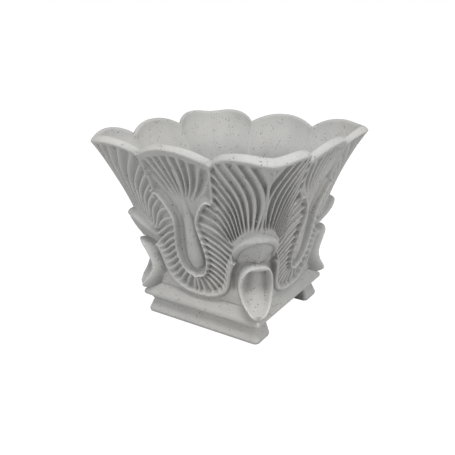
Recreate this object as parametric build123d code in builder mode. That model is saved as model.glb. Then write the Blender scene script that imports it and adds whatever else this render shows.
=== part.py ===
from build123d import *
import os
from math import sqrt

os.makedirs("parts", exist_ok=True)

# The pot stands on z = 0 and the vertical axis of its bowl is x = y = 0. Its four faces look along X and Y.
# A "reach" is how far the middle of a face stands out from the axis, a "corner" is half the side of the
# square section, taken at its corners, and a "half" is half a width. All sizes are in millimetres.

# Foot bars: two long blocks with battered sides, under the front and the back of the slab
bar_height = 40.0
bar_foot_corner = 120.0
bar_foot_depth = 48.0
bar_toe_height = 6.0
bar_toe_inset = 2.5
bar_waist_corner = 112.5
bar_waist_height = 26.0
bar_waist_depth = 38.0
bar_neck_corner = 121.0
bar_neck_depth = 50.0

# Plinth slab: a thin rounded edge and a steep sloping top
slab_corner = 125.0
slab_edge_height = 9.0
slab_edge_round = 3.0
slab_slope_height = 15.0
slab_top_corner = 110.0

# The bowl's blank, from which the lip and the relief are cut
bowl_base = bar_height + slab_edge_height + slab_slope_height
blank_height = 286.0
blank_top = bowl_base + blank_height
base_corner = 112.0
top_corner = 190.0
corner_flare = 2.05
base_reach = 116.0
top_reach = 207.0
straight_share = 0.8
lip_flare = 10.0
lobe_base_half = 45.0
lobe_top_half = 76.0
lobe_base_crown = 3.0
lobe_top_crown = 8.0
leaf_base_crown = 1.0
leaf_top_crown = 10.0
level_count = 8
wall_thickness = 16.0
floor_thickness = 20.0
drain_radius = 10.0

# Lip: the middle of its end face, which slopes down and outwards
lip_slope = 0.7
junction_half = 70.5
junction_reach = 178.0
junction_height = 322.5
lobe_peak_reach = 194.5
lobe_peak_height = 342.0
leaf_peak_half = 122.0
leaf_peak_reach = 192.0
leaf_peak_height = 342.0
tip_corner = 172.8
tip_height = 334.5

# Ground behind the leaves: the fan at the top, and the channel that runs down from it
relief_depth = 9.0
ground_base_crown = 22.0
ground_top_crown = 52.0
channel_bottom = 114.0
channel_half = 24.5
channel_half_height = 146.0
channel_waist_half = 20.0
channel_waist_height = 188.0
neck_half = 16.5
neck_height = 219.0
scroll_half = 44.0
scroll_height = 254.0
margin_half = 58.0
margin_height = 260.0

# Band round the channel, sunk between an inner and an outer bead
bead_width = 9.0
band_depth = 2.5
band_top_half = 72.0
band_top_height = 190.0
band_side_half = 67.0
band_side_height = 130.0
band_low_half = 47.0
band_low_height = 88.0
band_bottom = 75.0

# Hollows of the fan, from the top of the stem to a line under the lip
fan_hollow_count = 8
fan_hollow_depth = 3.5
fan_hollow_root_width = 2.0
fan_hollow_edge_width = 9.0

# Stem and drop that stand proud of the channel
drop_rise = 5.0
drop_half = 19.0
drop_wide_height = 137.0
drop_bottom = 119.0
stem_half = 5.5
stem_top_height = 252.0
stem_low_height = 205.0

# Curled cap on each corner
cap_half = 78.0
cap_side_reach = 142.0
cap_top_height = 211.0
cap_top_corner = 132.0
cap_tip_height = 200.0
cap_tip_corner = 138.5
cap_lip_height = 190.0
cap_lip_corner = 137.0
cap_back_height = 156.0
cap_back_corner = 120.0
cap_root = 90.0

# Spoon-shaped tongue under each cap, drawn in the upright plane through the corner
spoon_half = 31.0
spoon_top = 152.0
spoon_wide_height = 106.0
spoon_bottom = 53.0
spoon_top_corner = 124.5
spoon_waist_corner = 113.5
spoon_waist_height = 98.0
spoon_toe_corner = 127.5
spoon_root = 95.0
spoon_rim = 6.0
spoon_crown = 8.0
spoon_level_count = 9

# Wires cast into the stone
wire_radius = 2.0
hoop_bend_radius = 24.0
wire_spacing = 6.5
base_hoop_corner = 109.0
base_hoop_crown = 1.0
base_hoop_height = bowl_base + floor_thickness / 2
wall_hoop_corner = 136.0
wall_hoop_crown = 6.5
wall_hoop_height = 232.0
rod_top_corner = 156.0
rod_top_height = 300.0
rod_middle_corner = 111.5
rod_middle_height = 150.0

diagonal = sqrt(2)
far = blank_top + wall_thickness


def share(height):
    """How far up the blank a height lies, from 0 to 1."""
    return (height - bowl_base) / blank_height


def corner_at(height):
    """Half side of the leaves' section at its corners."""
    return base_corner + (top_corner - base_corner) * share(height) ** corner_flare


def reach_at(height):
    """Reach of the leaves' surface in the middle of a face."""
    part = share(height)
    rise = straight_share * part + (1 - straight_share) * part ** lip_flare
    return base_reach + (top_reach - base_reach) * rise


def relief_at(height):
    """Depth of the ground behind the leaves: it runs out between the scrolls and the lip."""
    left = (junction_height - height) / (junction_height - scroll_height)
    return relief_depth * min(1.0, max(0.0, left))


def levels_from(bottom):
    """Heights of the sections of a form that ends at the blank's top."""
    return [bottom + (blank_top - bottom) * step / level_count for step in range(level_count + 1)]


def lobed_square(height, inset, relief):
    """Section whose every side is half a leaf, a lobe and half a leaf."""
    part = share(height)
    corner = corner_at(height) - inset
    half = lobe_base_half + (lobe_top_half - lobe_base_half) * part - inset / 2
    crown = lobe_base_crown + (lobe_top_crown - lobe_base_crown) * part
    reach = reach_at(height) - inset - relief - crown
    leaf_half = (half + corner) / 2
    leaf_crown = leaf_base_crown + (leaf_top_crown - leaf_base_crown) * part**2
    leaf_reach = (reach + corner) / 2 + leaf_crown
    side = [
        (-corner, -corner),
        (-leaf_half, -leaf_reach),
        (-half, -reach),
        (0, -reach - crown),
        (half, -reach),
        (leaf_half, -leaf_reach),
        (corner, -corner),
    ]
    with BuildSketch() as section:
        with BuildLine():
            for turn in range(4):
                points = [Vector(*point).rotate(Axis.Z, 90 * turn) for point in side]
                ThreePointArc(*points[0:3])
                ThreePointArc(*points[2:5])
                ThreePointArc(*points[4:7])
        make_face()
    return section.sketch


def curved_square(height, inset):
    """Section of the ground behind the leaves: four curved sides."""
    reach = reach_at(height) - relief_at(height) - inset
    corner = reach - ground_base_crown - (ground_top_crown - ground_base_crown) * share(height)
    side = [(-corner, -corner), (0, -reach), (corner, -corner)]
    with BuildSketch() as section:
        with BuildLine():
            for turn in range(4):
                ThreePointArc(*[Vector(*point).rotate(Axis.Z, 90 * turn) for point in side])
        make_face()
    return section.sketch


def lofted(sections):
    """Solid through (height, section) pairs."""
    with BuildPart() as form:
        for height, section in sections:
            with BuildSketch(Plane.XY.offset(height)):
                add(section)
        loft()
    return form.part


def leaf_form(inset):
    """The blank inside the leaves' surface, less an inset."""
    return lofted([(height, lobed_square(height, inset, 0)) for height in levels_from(bowl_base)])


def ground_form(inset):
    """The blank inside the ground behind the leaves, less an inset."""
    return lofted([(height, curved_square(height, inset)) for height in levels_from(bowl_base)])


def face_cutter(outline, floor):
    """Cutter over an outline on the front face, as deep as a floor form."""
    with BuildPart() as cutter:
        with BuildSketch(Plane.XZ):
            add(outline)
        extrude(amount=far)
        add(floor, mode=Mode.SUBTRACT)
    return cutter.part


def spaced_points(curve, count):
    """Points spaced evenly along a curve, half a step in from its ends."""
    return [
        curve.position_at(curve.length * (index + 0.5) / count, PositionMode.LENGTH)
        for index in range(count)
    ]


def tapered_slots(roots, edges, root_width, edge_width):
    """Slots with round ends from each root point to its edge point."""
    with BuildSketch() as slots:
        for root, edge in zip(roots, edges):
            with BuildSketch(mode=Mode.PRIVATE) as slot:
                with Locations(root):
                    Circle(root_width / 2)
                with Locations(edge):
                    Circle(edge_width / 2)
                make_hull()
            add(slot.sketch)
    return slots.sketch


# Plinth slab, with the drain hole through it
with BuildPart() as plinth_slab:
    with BuildSketch(Plane.XY.offset(bar_height)):
        Rectangle(2 * slab_corner, 2 * slab_corner)
    extrude(amount=slab_edge_height)
    with BuildSketch(Plane.XY.offset(bar_height + slab_edge_height)):
        Rectangle(2 * slab_corner, 2 * slab_corner)
    with BuildSketch(Plane.XY.offset(bowl_base)):
        Rectangle(2 * slab_top_corner, 2 * slab_top_corner)
    loft(ruled=True)
    edge_lines = plinth_slab.edges().filter_by_position(Axis.Z, bar_height, bar_height + slab_edge_height)
    fillet(edge_lines, slab_edge_round)
    with Locations((0, 0, bowl_base)):
        Hole(drain_radius)
plinth_slab.part.label = "plinth_slab"


# Foot bars: battered from a rounded toe up to a waist, then flaring out to the slab
bar_sections = [
    (0.0, bar_foot_corner - bar_toe_inset, bar_foot_depth - 2 * bar_toe_inset),
    (bar_toe_height, bar_foot_corner, bar_foot_depth),
    (bar_waist_height, bar_waist_corner, bar_waist_depth),
    (bar_height, bar_neck_corner, bar_neck_depth),
]
with BuildPart() as foot_bar_front:
    for height, corner, depth in bar_sections:
        with BuildSketch(Plane.XY.offset(height)):
            with Locations((0, depth / 2 - corner)):
                Rectangle(2 * corner, depth)
    loft(ruled=True)
foot_bar_front.part.label = "foot_bar_front"

with BuildPart() as foot_bar_back:
    add(mirror(foot_bar_front.part, about=Plane.XZ, mode=Mode.PRIVATE))
foot_bar_back.part.label = "foot_bar_back"


# Outlines on the front face: across is x and up is y

# The fan and the channel: round bottom, neck, scroll, leaf's margin, and on past the lip
with BuildSketch() as window_outline:
    with BuildLine():
        channel_end = ThreePointArc(
            (-channel_half, channel_half_height), (0, channel_bottom), (channel_half, channel_half_height)
        )
        channel_side = Spline(
            channel_end @ 1,
            (channel_waist_half, channel_waist_height),
            (neck_half, neck_height),
            ((neck_half + scroll_half) / 2 - bead_width / 2, (neck_height + scroll_height) / 2 + bead_width / 2),
            (scroll_half, scroll_height),
        )
        margin = Polyline(
            channel_side @ 1,
            (margin_half, margin_height),
            (junction_half, junction_height),
            (lobe_top_half, far),
            (0, far),
        )
        mirror(channel_side, about=Plane.YZ)
        mirror(margin, about=Plane.YZ)
    make_face()

# The band: a wide U whose inner side keeps a bead's width off the channel
with BuildSketch() as band_outline:
    with BuildLine():
        band_inner = Spline(
            (-neck_half - bead_width, neck_height),
            (-channel_waist_half - bead_width, channel_waist_height),
            (-channel_half - bead_width, channel_half_height),
            (0, channel_bottom - bead_width),
            (channel_half + bead_width, channel_half_height),
            (channel_waist_half + bead_width, channel_waist_height),
            (neck_half + bead_width, neck_height),
        )
        band_outer = Spline(
            (-band_top_half, band_top_height),
            (-band_side_half, band_side_height),
            (-band_low_half, band_low_height),
            (0, band_bottom),
            (band_low_half, band_low_height),
            (band_side_half, band_side_height),
            (band_top_half, band_top_height),
        )
        band_top = Polyline(
            band_inner @ 1, (scroll_half - bead_width, scroll_height - 2 * bead_width), band_outer @ 1
        )
        mirror(band_top, about=Plane.YZ)
    make_face()

# The hollows of the fan, each from a root line to an edge line
with BuildLine():
    fan_root = ThreePointArc(
        (-2 * bead_width, scroll_height - bead_width),
        (0, scroll_height + bead_width / 2),
        (2 * bead_width, scroll_height - bead_width),
    )
    fan_edge = ThreePointArc(
        (-junction_half + bead_width, junction_height - 2 * bead_width),
        (0, lobe_peak_height - 2 * bead_width),
        (junction_half - bead_width, junction_height - 2 * bead_width),
    )
fan_hollows = tapered_slots(
    spaced_points(fan_root, fan_hollow_count),
    spaced_points(fan_edge, fan_hollow_count),
    fan_hollow_root_width,
    fan_hollow_edge_width,
)

# The stem that widens down to a round drop
with BuildSketch() as drop_outline:
    with BuildLine():
        drop_end = ThreePointArc(
            (-drop_half, drop_wide_height), (0, drop_bottom), (drop_half, drop_wide_height)
        )
        drop_side = Spline(
            drop_end @ 1,
            (stem_half, stem_low_height),
            (stem_half, stem_top_height),
            tangents=[(0, 1), (0, 1)],
        )
        mirror(drop_side, about=Plane.YZ)
        Line((-stem_half, stem_top_height), (stem_half, stem_top_height))
    make_face()


# The bowl's forms
window_cutter = face_cutter(window_outline.sketch, ground_form(0))
band_cutter = face_cutter(band_outline.sketch, leaf_form(band_depth))
fan_cutter = face_cutter(fan_hollows, ground_form(fan_hollow_depth))

# The inside, from the floor up past the lip
floor_top = bowl_base + floor_thickness
hollow = lofted(
    [(height, lobed_square(height, wall_thickness, relief_at(height))) for height in levels_from(floor_top)]
)

with BuildPart() as drop:
    with BuildSketch(Plane.XZ):
        add(drop_outline.sketch)
    extrude(amount=far)
    add(ground_form(-drop_rise), mode=Mode.INTERSECT)
    add(hollow, mode=Mode.SUBTRACT)


def lip_cut_height(height, reach):
    """Height at which a lip point falls on the upright plane through the axis, seen along the lip's slope."""
    return height + lip_slope * reach


corner_plane = Plane(origin=(0, 0, 0), x_dir=(1, 1, 0), z_dir=(1, -1, 0))
corner_section = Plane(origin=(0, 0, 0), x_dir=(1, -1, 0), z_dir=(-1, -1, 0))

# What is cut off over the lip: an arch over the lobe, and two half arches over the leaf round the corner
lip_junction = lip_cut_height(junction_height, junction_reach)
with BuildPart() as lobe_cutter:
    with BuildSketch(Plane.XZ):
        with BuildLine():
            ThreePointArc(
                (-junction_half, lip_junction),
                (0, lip_cut_height(lobe_peak_height, lobe_peak_reach)),
                (junction_half, lip_junction),
            )
            Polyline(
                (junction_half, lip_junction),
                (junction_half, 2 * far),
                (-junction_half, 2 * far),
                (-junction_half, lip_junction),
            )
        make_face()
    extrude(amount=far, dir=(0, -1, -lip_slope))

leaf_junction_half = (junction_reach - junction_half) / diagonal
leaf_junction = lip_cut_height(junction_height, (junction_half + junction_reach) / diagonal)
leaf_crest_half = (leaf_peak_reach - leaf_peak_half) / diagonal
leaf_crest = lip_cut_height(leaf_peak_height, (leaf_peak_half + leaf_peak_reach) / diagonal)
leaf_tip = lip_cut_height(tip_height, tip_corner * diagonal)
with BuildPart() as leaf_cutter:
    with BuildSketch(corner_plane):
        with BuildLine():
            crest = ThreePointArc(
                (0, leaf_tip), (leaf_crest_half, leaf_crest), (leaf_junction_half, leaf_junction)
            )
            Polyline(
                crest @ 1,
                (leaf_junction_half + wall_thickness, leaf_junction - wall_thickness),
                (leaf_junction_half + wall_thickness, 2 * far),
                (0, 2 * far),
                crest @ 0,
            )
        make_face()
        mirror(about=Plane.YZ)
    extrude(amount=far, dir=(1, -1, -lip_slope * diagonal))
    with Locations((junction_half, -junction_half, 0)):
        Box(far, far, 3 * far, align=(Align.MIN, Align.MAX, Align.CENTER), mode=Mode.INTERSECT)

# Curled cap: it swells out of the corner, ends in a lip, and runs back in underneath
cap_levels = [
    (cap_back_height, cap_back_corner),
    (cap_lip_height, cap_lip_corner),
    (cap_tip_height, cap_tip_corner),
    (cap_top_height, cap_top_corner),
]
with BuildPart() as cap:
    for height, corner in cap_levels:
        side_reach = cap_side_reach + corner - cap_tip_corner
        with BuildSketch(Plane.XY.offset(height)):
            Polygon(
                (cap_root, -cap_root),
                (cap_half, -side_reach),
                (corner, -corner),
                (side_reach, -cap_half),
                align=None,
            )
    loft(ruled=True)

# Spoon: level sections with a crowned front, as wide as an egg is at each height
spoon_levels = [
    spoon_bottom + (spoon_top - spoon_bottom) * (index + 0.5) / spoon_level_count
    for index in range(spoon_level_count)
]


def spoon_half_at(height):
    """Half width of the spoon: a round top over a pointed toe."""
    if height > spoon_wide_height:
        return spoon_half * sqrt(1 - ((height - spoon_wide_height) / (spoon_top - spoon_wide_height)) ** 2)
    return spoon_half * (1 - ((spoon_wide_height - height) / (spoon_wide_height - spoon_bottom)) ** 2)


def spoon_corner_at(height):
    """Where the spoon's crown stands: it draws in at the waist and curls out at both ends."""
    if height > spoon_waist_height:
        rise = (height - spoon_waist_height) / (spoon_top - spoon_waist_height)
        return spoon_waist_corner + (spoon_top_corner - spoon_waist_corner) * rise**2
    fall = (spoon_waist_height - height) / (spoon_waist_height - spoon_bottom)
    return spoon_waist_corner + (spoon_toe_corner - spoon_waist_corner) * fall**1.5


def spoon_section(height, inset, back):
    """Level section of the spoon, in from its side by an inset, from its crown to a back line."""
    half = spoon_half_at(height) - inset
    crown = spoon_corner_at(height) * diagonal - inset
    side = crown - spoon_crown * (half / spoon_half) ** 2
    with BuildSketch() as section:
        with BuildLine():
            front = ThreePointArc((side, -half), (crown, 0), (side, half))
            Polyline(front @ 1, (back, half), (back, -half), front @ 0)
        make_face()
    return section.sketch.rotate(Axis.Z, -45)


spoon = lofted([(height, spoon_section(height, 0, spoon_root * diagonal)) for height in spoon_levels])
spoon_cutter = lofted(
    [(height, spoon_section(height, spoon_rim, far)) for height in spoon_levels[1:-1]]
)


# Wires cast into the stone: two hoops, and four rods that run up the corners outside them
def hoop(corner, crown):
    """A square wire hoop with crowned sides and rounded corners."""
    side = [(-corner, -corner), (0, -corner - crown), (corner, -corner)]
    with BuildPart() as wire:
        with BuildLine() as path:
            for turn in range(4):
                ThreePointArc(*[Vector(*point).rotate(Axis.Z, 90 * turn) for point in side])
            fillet(path.vertices(), hoop_bend_radius)
        start = path.wire() @ 0
        with BuildSketch(Plane(origin=start, z_dir=path.wire() % 0)):
            Circle(wire_radius)
        sweep()
    return wire.part


def hoop_bend_corner(corner):
    """Where a hoop's rounded corner crosses the diagonal, as a corner."""
    return corner - hoop_bend_radius * (1 - 1 / diagonal)


with BuildPart() as base_hoop:
    with Locations((0, 0, base_hoop_height)):
        add(hoop(base_hoop_corner, base_hoop_crown))
base_hoop.part.label = "base_hoop"

with BuildPart() as wall_hoop:
    with Locations((0, 0, wall_hoop_height)):
        add(hoop(wall_hoop_corner, wall_hoop_crown))
wall_hoop.part.label = "wall_hoop"

rod_points = [
    (hoop_bend_corner(base_hoop_corner) * diagonal + wire_spacing, base_hoop_height),
    (rod_middle_corner * diagonal, rod_middle_height),
    (hoop_bend_corner(wall_hoop_corner) * diagonal + wire_spacing, wall_hoop_height),
    (rod_top_corner * diagonal, rod_top_height),
]
with BuildPart() as corner_rods:
    with BuildLine(corner_section):
        rod_path = Spline(*rod_points)
    with BuildSketch(Plane(origin=rod_path @ 0, z_dir=rod_path % 0)):
        Circle(wire_radius)
    sweep()
    with PolarLocations(0, 3, start_angle=90, angular_range=270):
        add(corner_rods.part)
corner_rods.part.label = "corner_rods"


# Bowl: the blank, hollowed, carved on its four faces and four corners, and cut off along the lip
with BuildPart() as bowl:
    add(leaf_form(0))
    with PolarLocations(0, 4):
        add(cap.part)
        add(spoon)
    with PolarLocations(0, 4):
        add(spoon_cutter, mode=Mode.SUBTRACT)
        add(window_cutter, mode=Mode.SUBTRACT)
        add(band_cutter, mode=Mode.SUBTRACT)
    add(hollow, mode=Mode.SUBTRACT)
    with PolarLocations(0, 4):
        add(drop.part)
        add(fan_cutter, mode=Mode.SUBTRACT)
        add(lobe_cutter.part, mode=Mode.SUBTRACT)
        add(leaf_cutter.part, mode=Mode.SUBTRACT)
    with Locations((0, 0, floor_top)):
        Hole(drain_radius)
    for wire in (base_hoop, wall_hoop, corner_rods):
        add(wire.part, mode=Mode.SUBTRACT)
    add(plinth_slab.part, mode=Mode.SUBTRACT)
bowl.part.label = "bowl"

for piece in (bowl, plinth_slab, foot_bar_front, foot_bar_back, base_hoop, wall_hoop, corner_rods):
    export_step(piece.part, f"parts/{piece.part.label}.step")
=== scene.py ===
# %% [markdown]
# # A cast-stone garden pot with leaf corners
# The CAD gives the sizes and the frame. This script gives the pot its carved relief, the worn shape of its
# edges and its stone, with painted shade in the relief's hollows and a painted highlight on its edges that
# stand out. The relief could be sculpted by hand, but then it would be hard to change. So each face of the
# bowl is a sheet of points in rows and columns. Height formulas push the points out, and a Geometry Nodes
# tree measures where the ribs lie.

import math

import bpy
import numpy as np
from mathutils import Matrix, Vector


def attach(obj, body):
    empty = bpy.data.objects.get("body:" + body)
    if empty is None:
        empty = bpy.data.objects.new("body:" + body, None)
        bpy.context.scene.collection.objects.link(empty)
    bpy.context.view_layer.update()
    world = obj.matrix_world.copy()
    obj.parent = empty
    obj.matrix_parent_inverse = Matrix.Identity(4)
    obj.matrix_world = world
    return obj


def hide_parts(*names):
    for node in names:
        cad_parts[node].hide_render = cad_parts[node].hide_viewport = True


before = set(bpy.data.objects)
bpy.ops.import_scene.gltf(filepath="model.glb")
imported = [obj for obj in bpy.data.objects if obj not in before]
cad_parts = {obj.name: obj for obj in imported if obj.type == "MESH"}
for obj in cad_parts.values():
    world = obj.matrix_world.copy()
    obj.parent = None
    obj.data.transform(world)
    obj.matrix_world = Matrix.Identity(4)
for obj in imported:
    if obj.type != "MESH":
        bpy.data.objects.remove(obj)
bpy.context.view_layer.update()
print("CAD nodes:", sorted(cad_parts))

# %% [markdown]
# ## Sizes
# All in millimetres, as in the CAD. A "reach" is how far a face stands out from the axis. A "corner" is half
# the side of the square section at its corners. On a face, "across" runs from its middle to its corner.

# %% Sizes of the bowl
MM = 0.001
# Height of the bowl's base, and the height that its flare is drawn up to
BASE, TOP = 64.0, 350.0
# Height of the inside floor, and radius of the drain hole in it
FLOOR_TOP, DRAIN = 84.0, 10.0
# Lowest height of a face piece, where the spoons' toes hang below the base
TOE = 46.0
# How far the inner wall stands behind the leaves' surface, and how much more it does below the lip
WALL, WALL_EXTRA = 16.5, 3.0
COLUMNS, ROWS = 140, 216
print("half a face has", COLUMNS, "columns and", ROWS, "rows of points")


# %% Flare of the bowl
def share(z):
    """How far up the blank a height lies, from 0 to 1."""
    return (z - BASE) / (TOP - BASE)


def corner_at(z):
    """Half side of the section at its corners."""
    return 112.0 + 78.0 * np.clip(share(z), 0, 1) ** 2.05


def reach_at(z):
    """Reach of the leaves' surface in the middle of a face."""
    part = np.clip(share(z), 0, 1.1)
    return 116.0 + 91.0 * (0.8 * part + 0.2 * part**10)


print("reach in the middle of a face: %.0f mm low, %.0f mm high" % (reach_at(BASE), reach_at(TOP)))


# %% Masks and round sections
def step(x, start, end):
    """Smooth change from 0 at start to 1 at end."""
    t = np.clip((x - start) / (end - start), 0, 1)
    return t * t * (3 - 2 * t)


def bump(distance, half):
    """Round section of a bead: 1 in its middle, 0 at half its width."""
    return np.sqrt(np.clip(1 - (distance / half) ** 2, 0, 1))


# %% [markdown]
# ## Lip
# The lip of the real pot is scalloped: one lobe in the middle of each face and one on each side of it, with
# a dip at every corner. It was measured in the photo twice, along its outer lower edge and its inner upper
# edge. One formula draws both edges from a few values each, and an end face joins them.

# %% Lip curves
OUTER_LIP = dict(half=71.9, reach=182.0, z=318.6, out=19.1, up=20.5, power=1.89,
                 corner=177.3, tip=328.6, leaf_out=18.8, leaf_up=14.6, skew=0.78)
INNER_LIP = dict(half=69.3, reach=173.8, z=326.9, out=14.5, up=18.4, power=2.26,
                 corner=168.3, tip=340.3, leaf_out=14.4, leaf_up=12.3, skew=0.82)


def lip_curve(lip, s):
    """Reach and height of a lip edge where the share of the way to the corner is s."""
    u = np.linspace(0, lip["half"], 200)
    lobe_reach = lip["reach"] + lip["out"] * (1 - (u / lip["half"]) ** 2)
    lobe_z = lip["z"] + lip["up"] * (1 - (u / lip["half"]) ** lip["power"])
    t = np.linspace(0, 1, 200)[1:]
    leaf_u = lip["half"] + (lip["corner"] - lip["half"]) * t
    leaf_reach = lip["reach"] + (lip["corner"] - lip["reach"]) * t + 4 * lip["leaf_out"] * t * (1 - t)
    w = t ** lip["skew"]
    leaf_z = lip["z"] + (lip["tip"] - lip["z"]) * t + 4 * lip["leaf_up"] * w * (1 - w)
    u = np.concatenate([u, leaf_u])
    reach = np.concatenate([lobe_reach, leaf_reach])
    z = np.concatenate([lobe_z, leaf_z])
    return np.interp(s, u / reach, reach), np.interp(s, u / reach, z)


print("corner of the lip, before rounding: %.0f and %.0f mm high" % (OUTER_LIP["tip"], INNER_LIP["tip"]))

# %% [markdown]
# ## Lines of the relief
# The leaf work is part of the casting, so it is drawn as lines on the face and not as separate leaves. They
# are the lines of half a face laid flat: across, then height. The other half is its mirror image.

# %% Relief lines
def line(*points, count=60):
    """Smooth line through points, as rows of (across, height)."""
    points = np.array(points, float)
    padded = np.vstack([2 * points[0] - points[1], points, 2 * points[-1] - points[-2]])
    parts = []
    for a, b, c, d in zip(padded, padded[1:], padded[2:], padded[3:]):
        t = np.linspace(0, 1, count, endpoint=False)[:, None]
        curve = 2 * b + (c - a) * t + (2 * a - 5 * b + 4 * c - d) * t**2 + (3 * b - a - 3 * c + d) * t**3
        parts.append(0.5 * curve)
    return np.vstack(parts + [points[-1:]])


margin = line((70, 323), (66.5, 310), (63, 293), (59.5, 274), (58, 259))
inner_bead = line((64, 247), (58, 255), (50, 257.5), (42, 253.5), (33, 242), (25.5, 228), (21.5, 215),
                  (22, 200), (25.5, 180), (28.5, 160), (28.5, 143), (25, 126), (16, 112), (0, 106.5))
outer_bead = line((78, 152), (71, 140), (65.5, 122), (61, 104), (53, 88), (38, 76.5), (20, 71), (0, 69.5))
cap_edge = line((140, 209), (120, 207), (100, 196), (84, 178), (77, 158), (78, 150))
print("inner bead: %d points, outer bead: %d points" % (len(inner_bead), len(outer_bead)))

# %% Grooves
# Each is a (start, end) pair of (across, height) points
# The band: from the inner bead out and down, then turning like spokes under the drop
band_grooves = [((22, 212), (80, 176)), ((24, 198), (77, 164)), ((27, 184), (74, 152)),
                ((29, 171), (71.5, 140.5)), ((30, 158), (69, 130)), ((30, 146), (66, 119)),
                ((28, 134), (62, 107.5)), ((24.5, 123.5), (57, 96.5)), ((19.5, 115.5), (49, 86.5)),
                ((13.5, 109.5), (37, 78.5)), ((7, 106), (22, 73.5)), ((0, 104.5), (0, 71))]
# The leaf: from the side and top of the cap to the scroll, the margin and the lip
leaf_grooves = [((81, 180), (21, 226)), ((83, 186), (31, 246)), ((86, 191), (44, 260)),
                ((90, 196), (56, 268)), ((95, 201), (60.5, 285)), ((100, 205.5), (64.5, 303)),
                ((105.5, 209), (68.5, 321)), ((111, 211.5), (82, 342)), ((117, 213), (103, 353)),
                ((123.5, 214), (126, 355)), ((129, 214.5), (149, 350))]
# The fan: from the top of the stem to under the lip
fan_grooves = [((1.5, 243), (9, 335)), ((4, 243), (27, 332)),
               ((7, 240), (43.5, 322)), ((10.5, 236), (56, 304))]


def rays(ends, bend):
    """Lines between pairs of points, bowed sideways by a share of their length."""
    found = []
    for start, end in np.array(ends, float):
        across = np.array([-(end - start)[1], (end - start)[0]])
        found.append(line(start, (start + end) / 2 + bend * across, end, count=20))
    return found


def pairs(ends, bend, before=None):
    """Groove lines, and the ridge lines half way between them."""
    ends = np.array(ends, float)
    ridges = (ends[1:] + ends[:-1]) / 2
    first = ends[:1] - (ends[1:2] - ends[:1]) / 2 if before is None else np.array([before], float)
    last = ends[-1:] + (ends[-1:] - ends[-2:-1]) / 2
    return rays(ends, bend), rays(np.concatenate([first, ridges, last]), bend)


rib_sets = {
    "band": pairs(band_grooves, 0.05),
    "leaf": pairs(leaf_grooves, -0.13),
    "fan": pairs(fan_grooves, -0.03, before=((0, 243), (0, 335))),
}
print("grooves on half a face:", {name: len(grooves) for name, (grooves, ridges) in rib_sets.items()})

# %% [markdown]
# ## A tree that measures ribs
# The half face lies flat as a sheet of points. For each set of ribs the tree finds how near a point is to a
# groove line and to a ridge line. It stores groove / (groove + ridge): 0 in a groove and 1 on a ridge. Ribs
# that fan out then grow wider by themselves, which ribs of one fixed width would not.

# %% Lines as meshes
def wire_mesh(name, lines):
    """Mesh of edges along some flat lines, as a helper object that is removed after use."""
    points, edges = [], []
    for path in lines:
        first = len(points)
        points += [(x, y, 0.0) for x, y in path]
        edges += [(first + k, first + k + 1) for k in range(len(path) - 1)]
    mesh = bpy.data.meshes.new(name)
    mesh.from_pydata(points, edges, [])
    item = bpy.data.objects.new(name, mesh)
    bpy.context.scene.collection.objects.link(item)
    return item


# %% Rib tree
def rib_tree():
    """Geometry Nodes tree with the inputs Grooves, Ridges and Finish."""
    tree = bpy.data.node_groups.new("measure_ribs", "GeometryNodeTree")
    sockets = tree.interface
    sockets.new_socket("Geometry", in_out="INPUT", socket_type="NodeSocketGeometry")
    for label in ("Grooves", "Ridges"):
        sockets.new_socket(label, in_out="INPUT", socket_type="NodeSocketObject")
    sockets.new_socket("Finish", in_out="INPUT", socket_type="NodeSocketMaterial")
    sockets.new_socket("Geometry", in_out="OUTPUT", socket_type="NodeSocketGeometry")

    def node(kind, *links, **settings):
        made = tree.nodes.new(kind)
        for key, value in settings.items():
            setattr(made, key, value)
        for index, source in links:
            tree.links.new(source, made.inputs[index])
        return made

    given = node("NodeGroupInput")
    near = []
    for label in ("Grooves", "Ridges"):
        info = node("GeometryNodeObjectInfo", ("Object", given.outputs[label]))
        distance = node("GeometryNodeProximity", (0, info.outputs["Geometry"]), target_element="EDGES")
        near.append(distance.outputs["Distance"])
    total = node("ShaderNodeMath", (0, near[0]), (1, near[1]), operation="ADD")
    ratio = node("ShaderNodeMath", (0, near[0]), (1, total.outputs[0]), operation="DIVIDE")
    store = node("GeometryNodeStoreNamedAttribute", ("Geometry", given.outputs["Geometry"]),
                 ("Value", ratio.outputs[0]), data_type="FLOAT", domain="POINT")
    store.inputs["Name"].default_value = "rib"
    real = node("GeometryNodeRealizeInstances", (0, store.outputs[0]))
    finish = node("GeometryNodeSetMaterial", (0, real.outputs[0]), ("Material", given.outputs["Finish"]))
    node("NodeGroupOutput", (0, finish.outputs[0]))
    return tree


# %% Measuring with the tree
def measure(tree, flat, lines, finish):
    """Rib value of each flat point, from 0 in a groove to 1 on a ridge."""
    sheet = bpy.data.meshes.new("flat_half_face")
    sheet.from_pydata([(x, y, 0.0) for x, y in flat], [], [])
    item = bpy.data.objects.new("flat_half_face", sheet)
    bpy.context.scene.collection.objects.link(item)
    grooves, ridges = wire_mesh("grooves", lines[0]), wire_mesh("ridges", lines[1])
    modifier = item.modifiers.new("ribs", "NODES")
    modifier.node_group = tree
    names = {s.name: s.identifier for s in tree.interface.items_tree if s.in_out == "INPUT"}
    modifier[names["Grooves"]] = grooves
    modifier[names["Ridges"]] = ridges
    modifier[names["Finish"]] = finish
    bpy.context.view_layer.update()
    evaluated = item.evaluated_get(bpy.context.evaluated_depsgraph_get())
    result = bpy.data.meshes.new_from_object(evaluated)
    values = np.empty(len(result.vertices), np.float32)
    result.attributes["rib"].data.foreach_get("value", values)
    for made in (item, grooves, ridges):
        bpy.data.objects.remove(made)
    bpy.data.meshes.remove(result)
    return values.astype(float)
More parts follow.
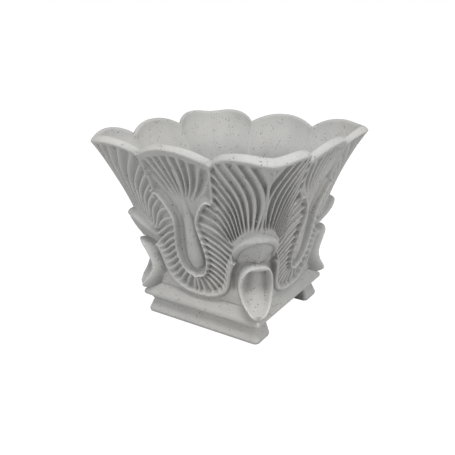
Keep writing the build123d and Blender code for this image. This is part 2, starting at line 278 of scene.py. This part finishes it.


# %% [markdown]
# ## Stone
# The pot is pale grey cast stone: a soft warm and cool mottling and small air pits. Painted shade darkens
# the pits and the relief's hollows, and a painted highlight lightens the edges that stand out. A painted
# texture would need an image, so noise and cells make it here. A small socket class lets the shader sums be
# written as plain arithmetic.

# %% Shader arithmetic
class Socket:
    """A shader value that takes + - and * with numbers and other values."""

    def __init__(self, tree, output):
        self.tree, self.output = tree, output

    def math(self, operation, other, flip=False):
        made = self.tree.nodes.new("ShaderNodeMath")
        made.operation = operation
        for index, value in enumerate((other, self) if flip else (self, other)):
            if isinstance(value, Socket):
                self.tree.links.new(value.output, made.inputs[index])
            else:
                made.inputs[index].default_value = value
        return Socket(self.tree, made.outputs[0])

    def __add__(self, other):
        return self.math("ADD", other)

    def __radd__(self, other):
        return self.math("ADD", other, True)

    def __sub__(self, other):
        return self.math("SUBTRACT", other)

    def __rsub__(self, other):
        return self.math("SUBTRACT", other, True)

    def __mul__(self, other):
        return self.math("MULTIPLY", other)

    def at_least(self, other):
        return self.math("MAXIMUM", other)

    def at_most(self, other):
        return self.math("MINIMUM", other)


# %% Stone material
STONE_SHADE = 0.33
PIT_CELLS_PER_METRE = 210.0
# How much painted shade darkens the hollows, and a painted highlight lightens the edges that stand out
PAINTED_SHADE_SHARE, PAINTED_HIGHLIGHT_SHARE = 0.24, 0.12


def stone(name, shade, carved):
    """Cast stone. A carved piece also reads attributes of its relief for painted shade and a painted
    highlight.
    """
    material = bpy.data.materials.new(name)
    material.use_nodes = True
    tree = material.node_tree
    shader = tree.nodes["Principled BSDF"]
    coordinates = tree.nodes.new("ShaderNodeTexCoord").outputs["Object"]

    def noise(scale, detail=3.0, rough=0.55):
        made = tree.nodes.new("ShaderNodeTexNoise")
        made.inputs["Scale"].default_value = scale
        made.inputs["Detail"].default_value = detail
        made.inputs["Roughness"].default_value = rough
        tree.links.new(coordinates, made.inputs["Vector"])
        return Socket(tree, made.outputs["Fac"])

    pit_cells = tree.nodes.new("ShaderNodeTexVoronoi")
    pit_cells.inputs["Scale"].default_value = PIT_CELLS_PER_METRE
    tree.links.new(coordinates, pit_cells.inputs["Vector"])
    cell_centre = Socket(tree, pit_cells.outputs["Distance"])
    chosen = ((noise(60.0, 1.0) - 0.51) * 10.0).at_least(0.0).at_most(1.0)
    pits = ((0.30 - cell_centre) * 6.0).at_least(0.0).at_most(1.0) * chosen
    mottle = (noise(9.0) - 0.5) * 0.22 + (noise(38.0) - 0.5) * 0.14 + (noise(420.0, 2.0) - 0.5) * 0.26
    # The pits are drawn darker: painted shade inside them
    value = (1.0 + mottle) * shade - pits * 0.2
    if carved:
        # Painted shade darkens the relief's hollows, and a painted highlight lightens its edges that stand out
        relief = tree.nodes.new("ShaderNodeAttribute")
        relief.attribute_name = "hollow"
        value = value * (1.0 - Socket(tree, relief.outputs["Fac"]) * PAINTED_SHADE_SHARE)
        painted_edge_highlight = tree.nodes.new("ShaderNodeAttribute")
        painted_edge_highlight.attribute_name = "painted_edge_highlight"
        value = value + Socket(tree, painted_edge_highlight.outputs["Fac"]) * PAINTED_HIGHLIGHT_SHARE
    warm = (noise(5.0, 2.0) - 0.5) * 0.05
    colour = tree.nodes.new("ShaderNodeCombineColor")
    for index, channel in enumerate((value * (1.0 + warm), value * 0.995, value * (0.965 - warm))):
        tree.links.new(channel.output, colour.inputs[index])
    tree.links.new(colour.outputs[0], shader.inputs["Base Color"])
    shader.inputs["Roughness"].default_value = 0.92
    shader.inputs["Specular IOR Level"].default_value = 0.25
    bumps = tree.nodes.new("ShaderNodeBump")
    bumps.inputs["Strength"].default_value = 0.35
    bumps.inputs["Distance"].default_value = 0.0012
    height = noise(260.0, 4.0, 0.65) * 0.7 - pits * 1.6
    tree.links.new(height.output, bumps.inputs["Height"])
    tree.links.new(bumps.outputs["Normal"], shader.inputs["Normal"])
    return material


carved_stone = stone("carved_stone", STONE_SHADE, True)
plain_stone = stone("plain_stone", STONE_SHADE, False)
print("nodes in the carved stone:", len(carved_stone.node_tree.nodes))

# %% Wire finish
wire_finish = bpy.data.materials.new("wire_finish")
wire_finish.use_nodes = True
wire_shader = wire_finish.node_tree.nodes["Principled BSDF"]
wire_shader.inputs["Base Color"].default_value = (0.45, 0.45, 0.46, 1)
wire_shader.inputs["Metallic"].default_value = 1.0
wire_shader.inputs["Roughness"].default_value = 0.45
print("materials:", [m.name for m in bpy.data.materials])

# %% [markdown]
# ## Surface of half a face
# Columns run from the middle of the face to its corner, and rows from the spoons' toes to the lip. Each height
# formula then changes the reach: first the leaves' surface, then the window, drop, ribs, beads, cap and spoon.

# %% Distances on the flat half face
def nearest(flat, path):
    """Distance of each point to a line, and how far along the line its nearest point lies."""
    best = np.full(len(flat), 1e9)
    place = np.zeros(len(flat))
    thin = path[:: max(1, len(path) // 150)]
    thin = np.vstack([thin, path[-1:]])
    total = len(thin) - 1
    for k in range(total):
        a, b = thin[k], thin[k + 1]
        span = b - a
        size = span @ span
        if size == 0:
            continue
        t = np.clip(((flat - a) @ span) / size, 0, 1)
        away = flat - (a + t[:, None] * span)
        distance = np.hypot(away[:, 0], away[:, 1])
        closer = distance < best
        best = np.where(closer, distance, best)
        place = np.where(closer, (k + t) / total, place)
    return best, place


def inside(flat, outline):
    """Which points lie in a closed outline."""
    x, y = flat[:, 0], flat[:, 1]
    found = np.zeros(len(flat), bool)
    for (x0, y0), (x1, y1) in zip(outline, np.roll(outline, -1, axis=0)):
        if y0 == y1:
            continue
        crosses = (y0 > y) != (y1 > y)
        found ^= crosses & (x < x0 + (y - y0) * (x1 - x0) / (y1 - y0))
    return found


def signed(flat, path, outline):
    """Distance to a line, positive inside the outline."""
    distance = nearest(flat, path)[0]
    return np.where(inside(flat, outline), distance, -distance)


# %% Grid of half a face
# s is the share of the way to the corner, and t the share of the way up to the lip
s = np.linspace(0, 1, COLUMNS + 1)
t = np.linspace(0, 1, ROWS + 1)
outer_reach, outer_z = lip_curve(OUTER_LIP, s)
inner_reach, inner_z = lip_curve(INNER_LIP, s)


def round_off(values):
    """Rounds a lip curve off where it turns the corner."""
    weights = np.hanning(61) / np.hanning(61).sum()
    turned = np.concatenate([values, values[-2:-34:-1]])
    soft = np.convolve(turned, weights, mode="same")[: len(values)]
    near_corner = step(s, 0.72, 0.9)
    return values * (1 - near_corner) + soft * near_corner


outer_z, inner_z = round_off(outer_z), round_off(inner_z)
z = TOE + (outer_z[None, :] - TOE) * t[:, None]
print("rows run from %.0f mm up to between %.1f and %.1f mm" % (TOE, outer_z.min(), outer_z.max()))


# %% Level sections of the leaves' surface and of the ground behind it
def section_reach(z_value, columns, ground):
    """Reach of a level section at each column."""
    corner, reach = corner_at(z_value), reach_at(z_value)
    part = share(z_value)
    if ground:
        u = np.linspace(0, corner, 120)
        relief = 9.0 * np.clip((322.5 - z_value) / (322.5 - 254), 0, 1)
        j = reach - relief - (22 + 30 * part) * (u / corner) ** 2 * 0.9
    else:
        half, crown = 45 + 31 * part, 3 + 5 * part
        u = np.concatenate([np.linspace(0, half, 60), np.linspace(half, corner, 60)[1:]])
        lobe = reach - crown * (u / half) ** 2
        k = np.clip((u - half) / (corner - half), 0, 1)
        low = reach - crown
        leaf = low + (corner - low) * k + 4 * (1 + 9 * part**2) * k * (1 - k)
        j = np.where(u < half, lobe, leaf)
    return np.interp(columns, u / j, j)


levels = np.linspace(BASE, 352, 150)
leaf_table = np.array([section_reach(level, s, False) for level in levels])
ground_table = np.array([section_reach(level, s, True) for level in levels])
print("level sections:", len(levels))


# %% Leaves' surface and ground at every point
def lookup(table, heights):
    """Value of a table of levels and columns at each point's own height."""
    place = np.clip((heights - BASE) / (levels[1] - levels[0]), 0, len(levels) - 1.001)
    low = place.astype(int)
    part = place - low
    column = np.broadcast_to(np.arange(table.shape[1]), heights.shape)
    return table[low, column] * (1 - part) + table[low + 1, column] * part


leaf_reach = lookup(leaf_table, z)
ground_reach = lookup(ground_table, z)
# Pull both to the measured lip edge over the last rows
pull = step(z, outer_z[None, :] - 70, outer_z[None, :]) * (outer_reach[None, :] - leaf_reach[-1][None, :])
leaf_reach = leaf_reach + pull
ground_reach = ground_reach + pull
flat = np.stack([(s[None, :] * leaf_reach).ravel(), z.ravel()], 1)
print("points on half a face:", flat.shape[0])

# %% Where each part of the relief lies
fan_outline = np.vstack([margin, inner_bead, [(0, 60), (-40, 60), (-40, 400), (70, 400)]])
band_outline = np.vstack([inner_bead, outer_bead[::-1], [(86, 176), (84, 190), (70, 232), (56, 257)]])
cap_outline = np.vstack([cap_edge, [(84, 148), (100, 154), (200, 157), (200, 209)]])

window = signed(flat, np.vstack([margin, inner_bead]), fan_outline)
bead_in, bead_in_place = nearest(flat, inner_bead)
bead_out = nearest(flat, outer_bead)[0]
margin_near = nearest(flat, margin)[0]
band = signed(flat, np.vstack([inner_bead, outer_bead[::-1]]), band_outline)
cap = signed(flat, cap_edge, cap_outline)
print("points in the window, band and cap:", [int((found > 0).sum()) for found in (window, band, cap)])

# %% Ribs
tree = rib_tree()
ribs = {name: measure(tree, flat, lines, carved_stone) for name, lines in rib_sets.items()}
print("ribs measured:", {name: round(float(v.mean()), 2) for name, v in ribs.items()})

# %% [markdown]
# ## Fan, stem and drop
# Each part of the relief is a mask from 0 to 1 times a height, so the parts run into each other without
# steps. Between the leaves of the real pot a lower window opens, with a fan of hollows above a stem and its
# drop.

# %% Window between the leaves
u, h = flat[:, 0], flat[:, 1]
leaf = leaf_reach.ravel()
ground = ground_reach.ravel()
in_window = step(window, -1.0, 2.0)
surface = leaf * (1 - in_window) + (ground - 3.5 * (1 - step(h, 210, 245))) * in_window
print("window lies at most %.1f mm behind the leaves" % (leaf - surface).max())

# %% Fan of hollows
FAN_DEPTH = 8.0


def groove(name, gain, power):
    """Depth of a set's grooves at each point, from 0 on a ridge to 1 in a groove."""
    return 1 - np.clip(ribs[name] * gain, 0, 1) ** power


lip_here = np.interp(u / leaf, s, outer_z)
fan_on = step(window, 2, 6) * step(h, 243, 285) * (1 - step(h, lip_here - 14, lip_here - 8))
surface = surface - FAN_DEPTH * groove("fan", 1.3, 2) * fan_on
print("fan hollows are cut %.1f mm deep, before the limit set with the spoon" % FAN_DEPTH)

# %% Stem and drop, with a narrow gap beside them
drop_width = np.interp(h, [118.5, 121, 127, 136, 146, 165, 188, 209, 225, 245, 262],
                       [0, 9.5, 15.5, 18.5, 18.5, 15.5, 12.5, 10.8, 9, 6, 3])
drop = np.clip(1 - (u / np.maximum(drop_width, 0.1)) ** 2, 0, 1) ** 0.5
surface = surface + drop * np.interp(h, [118, 140, 200, 262], [8.0, 11.5, 8.5, 0.0]) * (drop_width > 0.2)
drop_gap = bump(u - drop_width - 2.6, 3.2) * 3.0 * in_window
surface = surface - drop_gap * step(h, 112, 124) * (1 - step(h, 205, 228))
print("drop is %.0f mm wide" % (2 * drop_width.max()))

# %% [markdown]
# ## Band, leaf and beads
# A grooved band runs round the window between two beads, and the inner bead curls over at its upper end as a
# scroll. Above it the ribbed leaf climbs from the cap to the lip. The tree's rib values give the grooves
# their section: a gain above 1 keeps the ridges' tops flat, and a power rounds the grooves' bottoms.

# %% Band
BAND_SUNK, BAND_DEPTH = 2.0, 7.0
band_on = step(band, 0.5, 4.0) * (1 - step(h, 176, 236))
surface = surface - band_on * BAND_SUNK
surface = surface - BAND_DEPTH * groove("band", 1.4, 1.7) * band_on
print("band is sunk %.1f mm and its grooves %.1f mm more" % (BAND_SUNK, BAND_DEPTH))

# %% Leaf, whose grooves fade at the cap, the scroll, the margin, the lip and the corner
LEAF_DEPTH = 7.2
leaf_on = (1 - in_window) * step(-cap, 2.0, 9.0 + 12 * step(u, 92, 112)) * step(h, 172, 196)
leaf_on = leaf_on * step(bead_in, 3.0, 7.0) * step(margin_near, 2.0, 7.0) * step(u, 18, 30)
lip_fade = 1 - step(h, lip_here - 9, lip_here - 3)
arris = step(leaf - u, 0.5, 6.0)
surface = surface - LEAF_DEPTH * groove("leaf", 1.25, 1.7) * leaf_on * lip_fade * arris
print("leaf grooves are %.1f mm deep" % LEAF_DEPTH)

# %% Beads, margin and the recess beside the spoon
low_bead = 1 - step(h, 225, 250) * 0.1
scroll = 1 - step(bead_in_place, 0.22, 0.42)
bead_height = bump(bead_in, 5.4 + 1.2 * scroll) * (5.6 + 1.6 * scroll)
surface = surface + bead_height * low_bead * step(bead_in_place, 0.0, 0.09)
surface = surface + bump(bead_out, 6.2) * 5.4
surface = surface + bump(margin_near, 3.0) * 1.2
beside = step(u, 66, 78) * (1 - step(h, 146, 162)) * step(bead_out, 4, 9) * step(h, 80, 98)
surface = surface - 7.0 * beside
print("inner bead stands up to %.1f mm proud" % bead_height.max())

# %% [markdown]
# ## Cap and spoon
# Under each leaf the corner of the real pot has a curled cap, and below it a tongue hollowed like a spoon.
# Both bridge the corner, and each face carries its own half of them. The tongue is worked out square to the
# diagonal, so that its two halves meet in one surface.

# %% Cap: a hood whose lip stands proud, slanting in under the lip down to the knobs
share_s = u / leaf
corner_line = np.interp(h, [148, 156, 163, 170, 180, 190, 195, 200, 204, 207, 210],
                        [120.5, 121.5, 124.5, 128, 132, 135.6, 136.8, 136.6, 135.2, 133.6, 131.5])
aside = (1 - share_s) / 0.46
hood_middle = corner_line * (1 + (0.13 * aside - 0.075 * aside**2) * step(h, 148, 188))
hood = step(cap, -1.5, 1.5)
over = np.maximum(surface, hood_middle)
surface = surface * (1 - hood) + (hood_middle + (over - hood_middle) * step(h, 172, 192)) * hood
surface = surface + bump(cap - 5.0, 6.2) * 4.4 * step(h, 150, 165) * step(139 - u, 0, 15)
knob = np.hypot(u - 79, h - 153)
surface = surface + 5.5 * np.exp(-((knob / 4.5) ** 2))
print("cap's hood line reaches %.1f mm at the corner" % corner_line.max())

# %% Spoon: a bold pier square to the diagonal, with a raised rim and an egg-shaped hollow
# Deepest that the relief goes behind the leaves' surface before the egg-shaped hollow is cut
RELIEF_LIMIT = 13.0
# Reach of the face pieces below the base, inside the pier
SKIRT = 108.0
pier_corner = np.interp(h, [46, 51, 56, 61, 72, 84, 97, 108, 119, 134, 143, 149, 153],
                        [117, 122, 125.3, 126.5, 123.6, 118.8, 115.6, 115.3, 117.2, 121.2, 124, 124.5, 122])
pier_half = np.interp(h, [48, 51, 56, 62, 71, 82, 94, 106, 118, 130, 140, 146, 150, 152.5],
                      [0, 5, 10, 15.5, 21.5, 27, 30.5, 31.5, 30.5, 28, 23.5, 18, 11.5, 0])
from_middle = 2 * pier_corner / (1 + share_s) * (1 - share_s) / math.sqrt(2)
pier_reach = (2 * pier_corner - 1.414 * 5.0 * (from_middle / 30) ** 2) / (1 + share_s)
in_pier = pier_half - from_middle
pier = step(in_pier, -1.2, 1.2) * (h > 47.5) * (h < 153)
surface = np.where(h < BASE - 0.1, SKIRT, surface)
surface = surface * (1 - pier) + np.maximum(pier_reach, SKIRT) * pier
edge_near = np.minimum(in_pier, (152.5 - h) * 0.6)
surface = surface + bump(edge_near - 3.5, 3.8) * 1.6 * pier
egg = step(edge_near, 5.0, 10.5)
deep = 0.55 + 0.45 * step(from_middle, 2, 17)
surface = np.maximum(surface, leaf - RELIEF_LIMIT)
surface = surface - egg * deep * np.interp(h, [60, 75, 100, 130, 146], [1.5, 4.5, 8.2, 8.6, 7.5])
half_reach = surface.reshape(z.shape)
print("relief from %.1f to %.1f mm" % ((surface - leaf).min(), (surface - leaf).max()))

# %% [markdown]
# ## Whole piece for a face
# Rows are added over the lip's rounded end face, down the inner wall, over the inside floor to the drain hole
# and back under the base. Then the half is mirrored. Four such closed pieces meet at the corners, which is
# simpler than one piece with four seams. The inner wall stands a little further in than in the CAD, so that
# the wire hoop in the wall doesn't show inside the bowl.

# %% Softened half face
def blur(values, times=1):
    """Softens a grid a little, as casting does."""
    for _ in range(times):
        padded = np.pad(values, 1, mode="edge")
        total = padded[1:-1, 1:-1] * 4 + padded[:-2, 1:-1] + padded[2:, 1:-1]
        values = (total + padded[1:-1, :-2] + padded[1:-1, 2:]) / 8
    return values


half_reach = blur(half_reach)
# How far each point lies behind its neighbourhood: positive in hollows, negative on edges
hollow = blur(half_reach, 14) - half_reach
print("deepest hollow %.1f mm, sharpest edge %.1f mm" % (hollow.max(), -hollow.min()))

# %% Rows of the lip's end face, rounded by a swell
LIP_SWELL = 2.4
lip_rows = []
for part in np.linspace(0, 1, 13)[1:]:
    swell = LIP_SWELL * math.sin(part * math.pi) ** 0.6
    reach = half_reach[-1] + (inner_reach - half_reach[-1]) * part + swell * 0.57
    lip_rows.append((reach, outer_z + (inner_z - outer_z) * part + swell * 0.82))
print("rows over the lip:", len(lip_rows))

# %% Rows of the inner wall, the inside floor and the underside
UNDERSIDE, INNER_SKIRT = 64.2, 104.0
wall_rows, floor_rows = [], []
edge_reach, edge_z = lip_rows[-1]
for part in np.linspace(0, 1, 42)[1:]:
    z_row = edge_z + (FLOOR_TOP - edge_z) * part
    level_reach = np.array([section_reach(height, column, False) for height, column in zip(z_row, s)])
    keep = step(part, 0.0, 0.28)
    reach = (level_reach - WALL - WALL_EXTRA * keep) * keep + (edge_reach - 40 * part) * (1 - keep)
    wall_rows.append((reach - 10 * step(part, 0.93, 1.0), z_row))
wall_foot = wall_rows[-1][0]
# The divisor bends the square rows of the floor into a round hole
hole = DRAIN / np.sqrt(1 + s**2)
for part in np.linspace(0, 1, 8)[1:]:
    floor_rows.append((wall_foot + (hole - wall_foot) * part, np.full_like(s, FLOOR_TOP)))
under = ((hole, UNDERSIDE), (INNER_SKIRT, UNDERSIDE), (INNER_SKIRT, TOE))
under_rows = [(reach + 0 * s, height + 0 * s) for reach, height in under]
print("rows inside and below:", len(wall_rows) + len(floor_rows) + len(under_rows))


# %% Points and wear of a whole face
def mirrored(rows):
    """Rows of a whole face, from those of its half."""
    return np.hstack([rows[:, ::-1], rows[:, 1:]])


added_rows = lip_rows + wall_rows + floor_rows + under_rows
reach_full = mirrored(np.vstack([half_reach] + [row[0] for row in added_rows]))
z_full = mirrored(np.vstack([z] + [row[1] for row in added_rows]))
rows_count, columns_count = reach_full.shape
full_s = np.concatenate([-s[::-1], s[1:]])
face_points = np.stack([full_s * reach_full, -reach_full, z_full], -1).reshape(-1, 3)
# Painted shade in the hollows and a painted highlight on edges that stand out; the added rows get none
no_painted_light = np.zeros((len(added_rows), COLUMNS + 1))
painted_shade_rows = np.vstack([np.clip(hollow / 5.0, 0, 1), no_painted_light])
painted_highlight_rows = np.vstack([np.clip(-hollow / 4.0, 0, 1), no_painted_light])
print("points of a whole face:", len(face_points))


# %% Four face pieces
def sheet_faces(rows, columns):
    """Quads of rows that close into a tube, and one polygon at each of its two ends."""
    index = np.arange(rows * columns).reshape(rows, columns)
    below = np.vstack([index, index[:1]])
    a, b = below[:-1, :-1], below[:-1, 1:]
    c, d = below[1:, 1:], below[1:, :-1]
    quads = np.stack([a, b, c, d], -1).reshape(-1, 4)
    return quads.tolist() + [index[:, 0].tolist(), index[::-1, -1].tolist()]


faces = sheet_faces(rows_count, columns_count)
for turn, side in enumerate(("front", "right", "back", "left")):
    angle = turn * math.pi / 2
    spin = np.array([[math.cos(angle), -math.sin(angle), 0],
                     [math.sin(angle), math.cos(angle), 0],
                     [0, 0, 1]])
    mesh = bpy.data.meshes.new("bowl_face_" + side)
    mesh.from_pydata((face_points * MM @ spin.T).tolist(), [], faces)
    # The painted shade and the painted highlight go to the carved stone as point attributes
    for label, rows in (("hollow", painted_shade_rows), ("painted_edge_highlight", painted_highlight_rows)):
        attribute = mesh.attributes.new(label, "FLOAT", "POINT")
        attribute.data.foreach_set("value", mirrored(rows).ravel().astype(np.float32))
    mesh.materials.append(carved_stone)
    mesh.polygons.foreach_set("use_smooth", [True] * (len(faces) - 2) + [False] * 2)
    item = bpy.data.objects.new("bowl_face_" + side, mesh)
    bpy.context.scene.collection.objects.link(item)
    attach(item, "root")
    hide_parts("bowl")
print("triangles in the sheet of a face piece:", 2 * (len(faces) - 2))

# %% [markdown]
# ## Foot
# The slab and the two bars are plain blocks with edges softened as if cast and worn. They follow the CAD's
# solids, but the slab's edge hangs 3 mm lower over the bars, and their widths differ by up to 1 mm. A bevel
# would round every edge alike, so each block is built through level sections that have a corner radius of
# their own. The drain hole of the CAD's slab is not cut in this one.

# %% Blocks through level sections
CORNER_STEPS = 6


def worn_block(name, sections):
    """Block through (height, half width, near edge, far edge, corner radius) sections."""
    rings = []
    for height, half, near, far, radius in sections:
        ring_points = []
        for cx, cy, start in ((half, near, -90), (half, far, 0), (-half, far, 90), (-half, near, 180)):
            mx = cx - math.copysign(radius, cx)
            my = cy + radius if cy == near else cy - radius
            for k in range(CORNER_STEPS + 1):
                a = math.radians(start + 90 / CORNER_STEPS * k)
                ring_points.append((mx + radius * math.cos(a), my + radius * math.sin(a), height))
        rings.append(ring_points)
    size = len(rings[0])
    points = [p for ring_points in rings for p in ring_points]
    polygons = []
    for k in range(len(rings) - 1):
        for n in range(size):
            m = (n + 1) % size
            polygons.append((k * size + n, k * size + m, (k + 1) * size + m, (k + 1) * size + n))
    polygons.append(tuple(range(size))[::-1])
    polygons.append(tuple((len(rings) - 1) * size + n for n in range(size)))
    mesh = bpy.data.meshes.new(name)
    mesh.from_pydata([(x * MM, y * MM, height * MM) for x, y, height in points], [], polygons)
    mesh.materials.append(plain_stone)
    item = bpy.data.objects.new(name, mesh)
    bpy.context.scene.collection.objects.link(item)
    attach(item, "root")
    return item


# %% Slab and bars
bar_sections = [(0, 118.3, -118.3, -74.7, 7), (1.2, 119.8, -119.8, -73.2, 8),
                (6, 121, -121, -72, 9), (26, 112.5, -112.5, -74.5, 3.5),
                (39.6, 120.6, -120.6, -71.4, 4), (40, 120.6, -120.6, -71.4, 4)]
turned_sections = [(height, half, -far, -near, radius) for height, half, near, far, radius in bar_sections]
bar_front = worn_block("bar_front_worn", bar_sections)
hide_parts("foot_bar_front")
bar_back = worn_block("bar_back_worn", turned_sections)
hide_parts("foot_bar_back")
slab_sections = [(37, 122.5, 3.0), (37.8, 124.3, 3.4), (39.5, 125.5, 4), (44, 125.5, 4),
                 (46, 124.6, 4.5), (48, 122.6, 5), (64, 110.5, 4)]
square_sections = [(height, half, -half, half, radius) for height, half, radius in slab_sections]
slab = worn_block("slab_worn", square_sections)
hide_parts("plinth_slab")
print("foot pieces:", [bar_front.name, bar_back.name, slab.name])

# %% [markdown]
# ## Wires
# The hoops and rods stand for wires cast into the stone, and they keep their CAD meshes. They only get a
# steel finish, for anyone who takes the bowl away to look at them.

# %% Finish of the wires
for name in ("base_hoop", "wall_hoop", "corner_rods"):
    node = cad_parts[name]
    node.data.materials.clear()
    node.data.materials.append(wire_finish)
    print("wire:", name)

# %% [markdown]
# ## Studio
# The photo has a white background. The floor glows for the camera only, so it looks white and still lights
# the pot as a plain grey floor would. GLOW_SHARE times GLOW_STRENGTH is over 1, so the floor clips to white
# and shows no shadow. The world, too, is white for the camera and dimmer as a light. A soft lamp from above
# is the main light, and two weaker ones fill in from the right and the front.

# %% Floor
GLOW_SHARE, GLOW_STRENGTH = 0.9, 1.15
floor_mesh = bpy.data.meshes.new("studio_floor")
floor_mesh.from_pydata([(-40, -40, 0), (40, -40, 0), (40, 40, 0), (-40, 40, 0)], [], [(0, 1, 2, 3)])
studio_floor = bpy.data.objects.new("studio_floor", floor_mesh)
bpy.context.scene.collection.objects.link(studio_floor)
floor_finish = bpy.data.materials.new("floor_finish")
floor_finish.use_nodes = True
floor_nodes, floor_links = floor_finish.node_tree.nodes, floor_finish.node_tree.links
floor_nodes["Principled BSDF"].inputs["Base Color"].default_value = (0.5, 0.5, 0.5, 1)
floor_nodes["Principled BSDF"].inputs["Roughness"].default_value = 0.9
glow = floor_nodes.new("ShaderNodeEmission")
camera_ray = floor_nodes.new("ShaderNodeLightPath")
amount = floor_nodes.new("ShaderNodeMath")
amount.operation = "MULTIPLY"
amount.inputs[1].default_value = GLOW_SHARE
floor_mix = floor_nodes.new("ShaderNodeMixShader")
floor_links.new(camera_ray.outputs["Is Camera Ray"], amount.inputs[0])
floor_links.new(amount.outputs[0], floor_mix.inputs[0])
floor_links.new(floor_nodes["Principled BSDF"].outputs[0], floor_mix.inputs[1])
floor_links.new(glow.outputs[0], floor_mix.inputs[2])
floor_links.new(floor_mix.outputs[0], floor_nodes["Material Output"].inputs["Surface"])
glow.inputs["Strength"].default_value = GLOW_STRENGTH
floor_mesh.materials.append(floor_finish)
print("floor:", studio_floor.name)

# %% World, dimmer as a light than as the background
WORLD_LIGHT = 0.42
world = bpy.data.worlds.new("studio")
bpy.context.scene.world = world
world.use_nodes = True
nodes, links = world.node_tree.nodes, world.node_tree.links
nodes.clear()
path = nodes.new("ShaderNodeLightPath")
lit = nodes.new("ShaderNodeBackground")
lit.inputs["Color"].default_value = (1, 1, 1, 1)
lit.inputs["Strength"].default_value = WORLD_LIGHT
seen = nodes.new("ShaderNodeBackground")
seen.inputs["Color"].default_value = (1, 1, 1, 1)
seen.inputs["Strength"].default_value = 1.0
mix = nodes.new("ShaderNodeMixShader")
output = nodes.new("ShaderNodeOutputWorld")
links.new(path.outputs["Is Camera Ray"], mix.inputs[0])
links.new(lit.outputs[0], mix.inputs[1])
links.new(seen.outputs[0], mix.inputs[2])
links.new(mix.outputs[0], output.inputs["Surface"])
print("world light:", WORLD_LIGHT)


# %% Lamps
def lamp(name, place, size, power):
    """Soft square lamp aimed at the middle of the pot."""
    data = bpy.data.lights.new(name, "AREA")
    data.size, data.energy = size, power
    item = bpy.data.objects.new(name, data)
    bpy.context.scene.collection.objects.link(item)
    item.location = place
    item.rotation_euler = (Vector((0, 0, 0.17)) - Vector(place)).to_track_quat("-Z", "Y").to_euler()
    return item


key = lamp("key", (0.5, -0.8, 2.1), 0.7, 42.0)
right_fill = lamp("right_fill", (1.9, 0.1, 0.9), 1.0, 22.0)
fill = lamp("fill", (-0.6, -1.9, 0.8), 1.2, 19.0)
print("lamps:", [item.name for item in (key, right_fill, fill)])

# %% [markdown]
# ## Camera
# Its direction, distance, lens and shift were fitted to the corners of the pot in the photo. The shift moves
# the picture without turning the camera.

# %% Camera
AZIMUTH, ELEVATION, DISTANCE = math.radians(32.29), math.radians(19.91), 1.049
camera_data = bpy.data.cameras.new("camera")
camera_data.lens, camera_data.sensor_width = 43.8, 36.0
camera_data.shift_x, camera_data.shift_y = -0.0167, 0.0022
camera = bpy.data.objects.new("camera", camera_data)
bpy.context.scene.collection.objects.link(camera)
target = Vector((0, 0, 0.154))
camera.location = target + DISTANCE * Vector((math.sin(AZIMUTH) * math.cos(ELEVATION),
                                              -math.cos(AZIMUTH) * math.cos(ELEVATION), math.sin(ELEVATION)))
camera.rotation_euler = (target - camera.location).to_track_quat("-Z", "Y").to_euler()
bpy.context.scene.camera = camera
bpy.context.scene.view_settings.view_transform = "Standard"
print("camera at", [round(value, 3) for value in camera.location])
